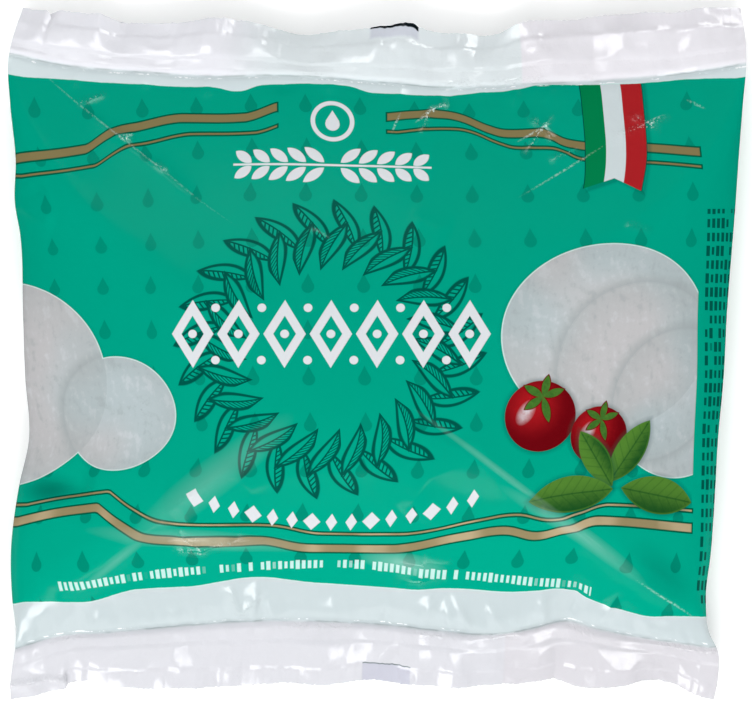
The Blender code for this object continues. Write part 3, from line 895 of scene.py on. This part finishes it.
smallPrint = {
    "arc": ((-35.8, -27.0), (20.2, -27.0)), "arcSag": 6.0, "beads": 15,
    "line": (
        (-60.0, -43.9), (-52.0, -42.9), (-33.0, -41.0), (-14.0, -39.9), (-5.0, -39.9), (5.0, -40.8),
        (23.0, -42.6), (40.5, -45.0),
    ),
    "lineHalf": 1.0, "linePitch": 1.12, "rowGap": 2.64, "rowHalf": 1.0, "rowPitch": 1.15,
    "columnEdge": 63.75, "columnLean": -0.059, "endEdge": 62.2, "endLean": -0.043,
    # across to, top, bottom; and across from, across to, top, bottom
    "rightColumn": (118.0, 27.8, -46.8), "leftColumn": (-132.0, -84.0, 24.0, -30.0),
}


def edgeAt(v, name):
    # where the print ends on the right; the film is pulled a little round that side
    return v * smallPrint[name + "Lean"] + smallPrint[name + "Edge"]


def paintSmallPrint(g, colour, u, v):
    # an arc of lozenges under the wreath
    left, right = (onFilm(*end) for end in smallPrint["arc"])
    half, centre = (right[0] - left[0]) / 2, (left[0] + right[0]) / 2
    bend = (u - centre) / half
    pitch = 2 * half / smallPrint["beads"]
    across = (u - left[0]) / pitch
    wide = across.math("FLOOR").math("FLOORED_MODULO", 3.0).math("LESS_THAN", 0.5) * 0.45 + 0.85
    away = abs(v - left[1] - 0.6 + (1 - bend * bend) * smallPrint["arcSag"])
    beads = (abs(across.math("FRACT") - 0.5) * pitch / wide + away * 0.72 - 1.25) * 0.7
    colour = g.mix(g.inside(beads.most((abs(bend) - 1.0) * 20)), colour, ink["plaque"])
    # fine bars along the bottom of the green
    points = filmLine(smallPrint["line"])
    row = barRow(g, u, 3.0, v - g.curve(u, points), smallPrint["lineHalf"], smallPrint["linePitch"])
    row = row * g.inside((points[0][0] - u).most(u - points[-1][0]))
    colour = g.mix(row * 0.85, colour, ink["rim"])
    # a plain column of fine bars that runs round the right side, and one round the left of the back
    rowNumber = (v / smallPrint["rowGap"]).math("FLOOR")
    rowPlace = ((v / smallPrint["rowGap"]).math("FRACT") - 0.5) * smallPrint["rowGap"]
    edge = edgeAt(v, "column")
    bars = barRow(g, u - edge, rowNumber * 17.3, rowPlace, smallPrint["rowHalf"], smallPrint["rowPitch"])
    for tone, strength, (start, end, top, bottom) in (
        ("dark", 0.88, (edge, *smallPrint["rightColumn"])), ("plaque", 0.9, smallPrint["leftColumn"]),
    ):
        column = g.inside((start - u).most(u - end).most(v - top).most(bottom - v))
        colour = g.mix(bars * column * strength, colour, ink[tone])
    return colour


ribbon = {
    "middle": ((44.1, 50.4), (45.0, 42.1), (44.9, 32.7)), "half": 5.88, "narrower": 0.34, "stripe": 1.86,
    "apex": 32.85, "notch": 0.43, "notchLean": 0.061, "shadow": 0.75, "edge": 0.16,
}


def paintRibbon(g, colour, u, v, field):
    # tricolour ribbon with a notched end, bent a little by the film, and the shadow printed under it
    middleLine = np.array([onFilm(*point) for point in ribbon["middle"]])
    bow, lean, start = (float(part) for part in np.polyfit(middleLine[:, 1], middleLine[:, 0], 2))
    off = u - ((v * bow + lean) * v + start)
    apex = onFilm(ribbon["middle"][2][0], ribbon["apex"])[1]

    half = g.smooth(v, apex + 5.0, apex - 2.0) * -ribbon["narrower"] + ribbon["half"]  # slimmer at its end

    def shape(across, along):
        notch = apex - abs(across) * ribbon["notch"] - across * ribbon["notchLean"]
        return (abs(across) - half).most(notch - along)

    shadow = g.inside(shape(off - ribbon["shadow"], v + ribbon["shadow"]), 0.6)
    colour = g.mix(shadow * field * 0.35, colour, ink["dark"])
    colours = g.mix(g.inside(off), ink["flagRed"], ink["flagGreen"])
    colours = g.mix(g.inside(abs(off) - ribbon["stripe"]), colours, ink["flagWhite"])
    body = shape(off, v)
    colours = g.mix(g.inside(half - abs(off) - ribbon["edge"], 0.08), colours, ink["dark"])
    return g.mix(g.inside(body) * field, colour, colours)


seam = {"top": (2.85, 4.65, 62.8), "eye": 64.5, "bottom": (4.2, 4.7, -61.7), "line": 0.10}


def paintSeam(g, colour, u, v):
    # the back seam's ends show through the fins: a dark mark at the top, a line and a patch at the bottom
    centre, half, level = seam["top"]
    across = abs(u - centre) - half
    colour = g.mix(g.inside(across.most(level - v), 0.6) * 0.5, colour, ink["mark"])
    colour = g.mix(g.inside(across.most((u - centre) * -0.045 + seam["eye"] - v), 0.15), colour, ink["black"])
    centre, half, level = seam["bottom"]
    across = abs(u - centre) - half
    colour = g.mix(g.inside(across.most(v - level), 0.3) * 0.55, colour, ink["mark"])
    return g.mix(g.inside(across.most(abs(v - level) - seam["line"]), 0.15) * 0.75, colour, ink["dark"])


# pale lines along creases, partly ink worn or stretched there and partly painted highlight: the slim broken
# ones are worn flecks with painted glints, the wider soft ones painted highlights along ridges; from and to as
# seen, half width, strength
creaseWearAndHighlights = (
    ((-58.0, 48.4), (-36.0, 30.8), 0.15, 0.28), ((14.6, -15.9), (31.8, -28.5), 0.40, 0.12),
    ((30.0, -29.0), (45.0, -38.6), 0.95, 0.16), ((50.5, -43.2), (58.1, -48.6), 0.16, 0.42),
    ((40.4, 37.4), (30.9, 31.6), 0.15, 0.42), ((53.6, 44.4), (51.2, 43.4), 0.18, 0.55),
    ((31.6, 42.4), (27.9, 40.4), 0.18, 0.60), ((11.2, 46.0), (8.4, 44.0), 0.22, 0.65),
    ((4.3, 44.4), (3.2, 42.0), 0.16, 0.55), ((59.2, 47.3), (61.3, 46.3), 0.18, 0.42),
    ((-43.6, -34.6), (-53.0, -42.0), 0.60, 0.12), ((-22.5, -17.4), (-39.5, -30.5), 2.20, 0.11),
    ((-45.0, -34.3), (-21.0, -36.0), 1.10, 0.16), ((0.6, -39.0), (9.5, -40.2), 1.20, 0.26),
)
brokenUnder = 0.3  # lines slimmer than this are broken into flecks


def paintCreaseWearAndHighlights(g, colour, place, flecks):
    # the soft wide lines are painted highlights; the slim broken ones are worn ink with painted glints
    soft, thin = None, None
    for start, end, halfWidth, strength in creaseWearAndHighlights:
        (x0, y0), (x1, y1) = onFilm(*start), onFilm(*end)
        half, angle = 0.5 * math.hypot(x1 - x0, y1 - y0), math.degrees(math.atan2(y1 - y0, x1 - x0))
        slim = g.oval(place, (0.5 * (x0 + x1), 0.5 * (y0 + y1)), (half, halfWidth), angle)
        line = g.inside(slim, 1.8 * halfWidth) * strength
        if halfWidth < brokenUnder:
            thin = line if thin is None else thin.most(line)
        else:
            soft = line if soft is None else soft.most(line)
    return g.mix((thin * g.smooth(flecks, 0.42, 0.58)).most(soft), colour, ink["crackAndGlint"])


# painted shade where the film bends away from the light: as seen, half size, turn, strength
paintedShadeOvals = (((-61.8, -26.0), (9.0, 4.2), -4, 0.52), ((53.6, -41.5), (11.0, 5.0), -35, 0.20))


def paintShadeOvals(g, colour, place):
    for centre, half, turn, strength in paintedShadeOvals:
        oval = g.oval(place, onFilm(*centre), half, turn)
        # painted shade: darker towards each oval's middle
        colour = g.mix(g.smooth(oval, 0.0, -half[1]) * strength, colour, ink["dark"])
    return colour


def paintSealShadowAndGlints(g, colour, v, speck, patch):
    # the seals' own fold: a broken grey line of painted shadow in the fold, and short white dashes of painted
    # glints on its body side
    away = abs(v) - form["filmSeal"]
    foldShadow = g.inside(abs(away) - 0.10, 0.35) * g.smooth(patch, 0.42, 0.58)
    colour = g.mix(foldShadow * 0.38, colour, ink["dark"])
    glintDash = g.inside(abs(away + 0.55) - 0.14, 0.25) * g.smooth(speck, 0.52, 0.60)
    return g.mix(glintDash * g.smooth(patch, 0.58, 0.46) * 0.9, colour, (0.95, 0.97, 0.98))


film = {
    "roughness": 0.30, "coat": 0.72, "printedCoat": 0.075, "coatRoughness": 0.15, "specular": 0.0,
    "greyFrom": (-32.0, -18.0), "warmFrom": (26.8, 27.4), "lower": (-8.0, -36.0),  # where its tones change
}


def paintPrint(g):
    place = g.value("ShaderNodeAttribute", {"attribute_type": "GEOMETRY", "attribute_name": "film"}, None, 1)
    u, v, crinkle = g.split(place)
    place = g.join(u, v)
    speck = g.noise(place, 0.9, 3.0, 0.6)
    lower = g.smooth(v, *film["lower"])
    # the fins: the top one is greyer in its middle, and both are a little warmer right of a sharp upright line
    tint = g.mix(g.smooth(u, *film["greyFrom"]) * (1 - lower), ink["fin"], ink["finGrey"])
    tint = g.mix(g.smooth(u, *film["warmFrom"]), tint, ink["finWarm"])
    colour = g.mix(g.smooth(abs(v), 54.2, 55.0), ink["band"], tint)
    # painted shade: the bare film and the fins are made a little darker towards the bottom
    colour = g.mix(lower * 0.15, colour, (0.0, 0.0, 0.0))

    # the printed field, with the thin pale rim where its inks don't quite meet
    top, bottom = (g.curve(u, filmLine(printed[name])) for name in ("greenTop", "greenBottom"))
    edge = (v - top).most(bottom - v) + (speck - 0.5) * 0.15
    field = g.inside(edge)
    colour = g.mix(g.inside(abs(edge) - 0.16, 0.15) * 0.8, colour, ink["rim"])
    # painted light: the green is made lighter towards the bottom slope
    green = g.mix(lower, ink["green"], tuple(c * 1.12 for c in ink["green"]))
    lineEnd = edgeAt(v, "end")
    sideColumn = g.inside((lineEnd - u).most(u - printed["backRight"]))
    inked = g.mix(dropPattern(g, u, v) * (1 - sideColumn), green, ink["drop"])
    inked = g.mix(leafWreath(g, place) * 0.9, inked, ink["dark"])
    # the gold is dull at the top and has a painted sheen in patches at the bottom
    patch = g.smooth(g.noise(g.join(u, v * 0.3), 0.07, 2.0), 0.47, 0.60) * 0.7 + 0.3
    gleam = g.mix(lower * patch, ink["gold"], ink["goldSheen"])
    start, (gapFrom, gapTo) = printed["backLeft"], printed["goldGap"]
    for name, corner, turn, low, high in (
        ("goldTopLeft", (2,), 1, start, gapFrom), ("goldTopRight", (), 1, gapTo, lineEnd),
        ("goldBottom", (2,), -1, start, lineEnd),
    ):
        gold, outline = stripePair(g, u, v, name, corner, turn, low, high)
        inked = g.mix(outline, inked, ink["outline"])
        inked = g.mix(gold, inked, gleam)
    # painted shade over the green where the film turns from the light
    inked = paintShadeOvals(g, inked, place)
    inked = g.mix(sideColumn, paintFood(g, inked, place, u, v, speck), inked)
    inked = paintLabel(g, inked, place, u, v)
    inked = paintSmallPrint(g, inked, u, v)
    inked = paintRibbon(g, inked, u, v, field)
    colour = g.mix(field, colour, inked)
    # the ink is cracked to white flecks where the film is sharply crinkled, and these flecks also serve as
    # painted glints on the creases
    flecks = g.noise(place, 1.9, 3.0, 0.7)
    crackFlecksAndGlints = g.smooth(flecks, 0.56, 0.64) * g.smooth(crinkle, 0.50, 0.95)
    colour = g.mix(crackFlecksAndGlints * 0.8 * field, colour, ink["crackAndGlint"])
    # pale crease lines: worn ink, painted glints and painted highlights
    colour = paintCreaseWearAndHighlights(g, colour, place, flecks)
    patch = g.noise(place, 0.16, 2.0, 0.6)
    # the seals' fold: a painted shadow line and painted glint dashes
    colour = paintSealShadowAndGlints(g, colour, v, speck, patch)
    # bare film is glossy but for patches at the fins' roots; the ink is duller, least so on the bottom slope
    root = g.inside(abs(abs(v) - 56.4) - 1.8, 1.6) * g.smooth(patch, 0.60, 0.50)
    bare = (1 - field) * (1 - root * 0.8)
    gloss = (bare.most(crinkle) * film["coat"]).most((lower * 0.8 + 0.2) * film["printedCoat"])
    return paintSeam(g, colour, u, v), place, gloss, crinkle, speck


def filmMaterial():
    g = Graph("printed_film")
    colour, place, gloss, crinkle, speck = paintPrint(g)
    height = speck * 0.08 + g.noise(place, 0.28, 2.0, 0.5) * 0.45 - abs(speck - 0.5) * 2.4 * crinkle
    return g.finish({
        "Base Color": colour, "Roughness": speck * 0.10 + film["roughness"] - 0.05,
        "Specular IOR Level": film["specular"], "Coat Weight": gloss, "Coat Roughness": film["coatRoughness"],
        "Normal": g.value("ShaderNodeBump", None, {"Height": height, "Strength": 0.5, "Distance": 0.0006}),
    })


def flapMaterial():
    g = Graph("flap_film")
    place = g.value("ShaderNodeTexCoord", None, None, 3)
    _, y, _ = g.split(place)
    jaw = (y * 620.0).math("SINE") * 0.5 + 0.5
    tone = g.noise(place, 40.0, 2.0)
    return g.finish({
        "Base Color": g.mix(tone, (0.70, 0.72, 0.76), (0.80, 0.81, 0.86)), "Roughness": tone * 0.1 + 0.28,
        "Coat Weight": film["coat"], "Coat Roughness": film["coatRoughness"],
        "Normal": g.value("ShaderNodeBump", None, {"Height": jaw, "Strength": 0.3, "Distance": 0.0003}),
    })


skin.data.materials.append(filmMaterial())
strip.data.materials.append(flapMaterial())
print("materials made,", len(skin.data.materials[0].node_tree.nodes), "nodes")

# floor, lights and camera
stage = {"floor": 1.6, "floorColour": (0.97, 0.97, 0.97), "glow": 0.12, "sky": 0.10}
lamps = (
    # name, turn round the pack and height above it in degrees, distance, width, length, watts, mirrored
    ("tentTop", 0, 90, 1.5, 2.0, 2.0, 14.6, False),
    ("tentFront", -96, 45, 1.3, 1.2, 0.6, 16.2, False),
    ("tentRear", 90, 36, 1.3, 1.2, 0.6, 8.6, False),
    ("tentLeft", 180, 30, 1.3, 0.8, 0.6, 0.4, False),
    ("tentRight", 0, 30, 1.3, 0.8, 0.6, 0.6, False),
    ("softFront", -112, 17, 1.1, 0.55, 0.28, 4.4, True),
    ("softRear", 62, 17, 1.1, 0.50, 0.28, 4.4, True),
    ("highFront", -70, 50, 1.1, 0.45, 0.25, 3.0, True),
    ("highRear", 105, 48, 1.1, 0.45, 0.25, 2.8, True),
)


def makeFloor():
    bpy.ops.mesh.primitive_plane_add(size=stage["floor"])
    floor = bpy.context.object
    floor.name = "studio_floor"
    g = Graph("floor_paper")
    place = g.value("ShaderNodeTexCoord", None, None, 3)
    tone = g.noise(place, 6.0, 2.0)
    light = stage["floorColour"]
    g.finish({
        "Base Color": g.mix(tone, tuple(c * 0.985 for c in light), light), "Roughness": 0.7,
        "Specular IOR Level": 0.2, "Emission Color": (1.0, 1.0, 1.0), "Emission Strength": stage["glow"],
    })
    g.material.cycles.emission_sampling = "NONE"
    floor.data.materials.append(g.material)


def makeLamps():
    for name, turn, height, distance, width, length, watts, mirrored in lamps:
        data = bpy.data.lights.new(name, "AREA")
        data.shape, data.size, data.size_y, data.energy = "RECTANGLE", width, length, watts
        lamp = bpy.data.objects.new(name, data)
        turn, height = math.radians(turn), math.radians(height)
        aim = Vector((math.cos(turn) * math.cos(height), math.sin(turn) * math.cos(height), math.sin(height)))
        lamp.location = aim * distance
        lamp.rotation_euler = aim.to_track_quat("Z", "Y").to_euler()
        lamp.visible_camera = False
        lamp.visible_glossy, lamp.visible_diffuse = mirrored, not mirrored  # the tent lights, the rest gleam
        bpy.context.scene.collection.objects.link(lamp)
    world = bpy.data.worlds.new("studio")
    world.use_nodes = True
    sky = world.node_tree.nodes["Background"].inputs
    sky["Color"].default_value, sky["Strength"].default_value = (1, 1, 1, 1), stage["sky"]
    world.cycles_visibility.glossy = False
    bpy.context.scene.world = world


def makeCamera():
    data = bpy.data.cameras.new("camera")
    data.sensor_width = view["sensor"]
    seen = view["width"] / view["pixelsPerMm"] * mm
    data.lens = view["sensor"] * view["distance"] / seen
    data.clip_start, data.clip_end = 0.01, 20.0
    camera = bpy.data.objects.new("camera", data)
    camera.location = (*view["aside"], view["distance"] + view["atHeight"])
    bpy.context.scene.collection.objects.link(camera)
    bpy.context.scene.camera = camera


makeFloor()
makeLamps()
makeCamera()
bpy.context.scene.view_settings.view_transform = "Standard"
print("stage made")
